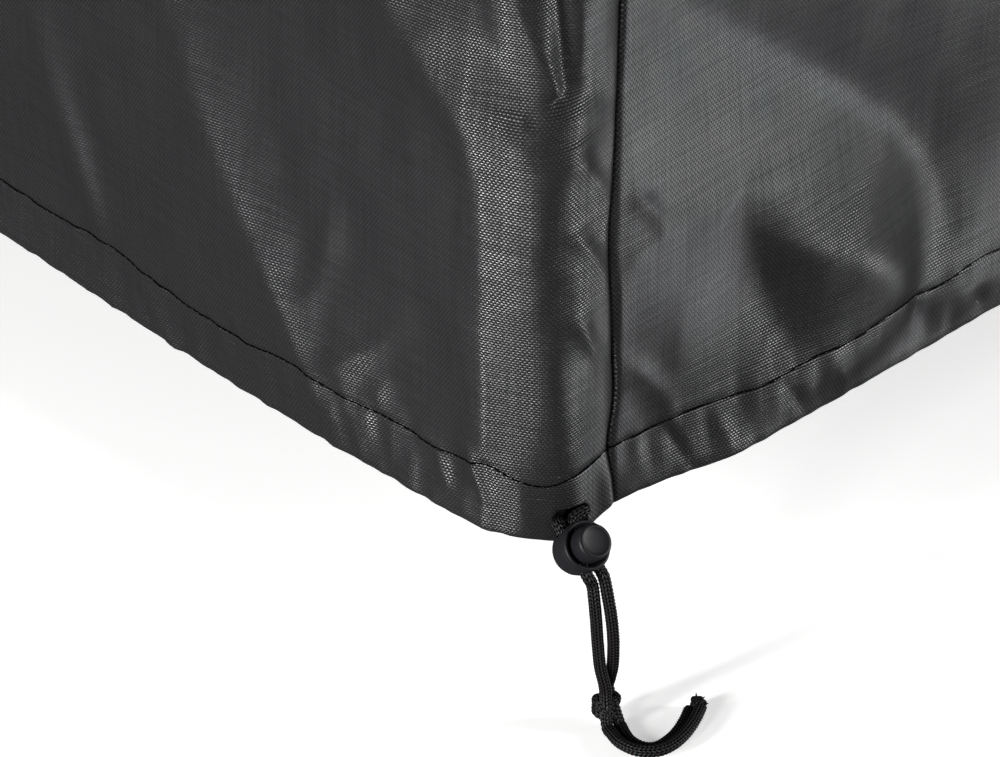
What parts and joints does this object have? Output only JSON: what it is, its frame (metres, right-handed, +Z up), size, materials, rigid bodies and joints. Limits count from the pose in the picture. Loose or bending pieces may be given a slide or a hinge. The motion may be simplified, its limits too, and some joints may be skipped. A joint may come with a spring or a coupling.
{
  "type": "fitted furniture cover",
  "caption": "Rectangular fitted furniture cover, hollow and open below, with a corded hem and a push-button cord lock at a corner.",
  "frame": {"origin": "middle of the underside of the top, where the furniture's top carries the cover", "axes": "+X along the cover's length, +Y across its width, +Z up; the drawcord comes out at the +X, -Y corner of the hem"},
  "size_m": [0.9516, 0.6147, 0.4551],
  "materials": {
    "cloth": "woven polyester with a soft sheen",
    "cord": "round braid, matte",
    "plastic": "moulded, satin"
  },
  "bodies": {
    "cover": {"top_panel": "cloth", "front_panel": "cloth", "right_panel": "cloth", "back_panel": "cloth", "left_panel": "cloth", "drawcord": "cord", "strand_front": "cord", "strand_rear": "cord", "cord_knot": "cord", "tail_front": "cord", "tail_rear": "cord", "cord_tip": "cord", "cord_lock_barrel": "plastic"},
    "lock_button": {"cord_lock_plunger": "plastic"}
  },
  "joints": [
    {"name": "button_press", "type": "slide", "parent": "cover", "child": "lock_button", "axis": [-0.7375, 0.0473, -0.6737], "range_m": [0, 0.0025], "stiffness_N_per_m": 800, "springref_m": -0.003}
  ]
}
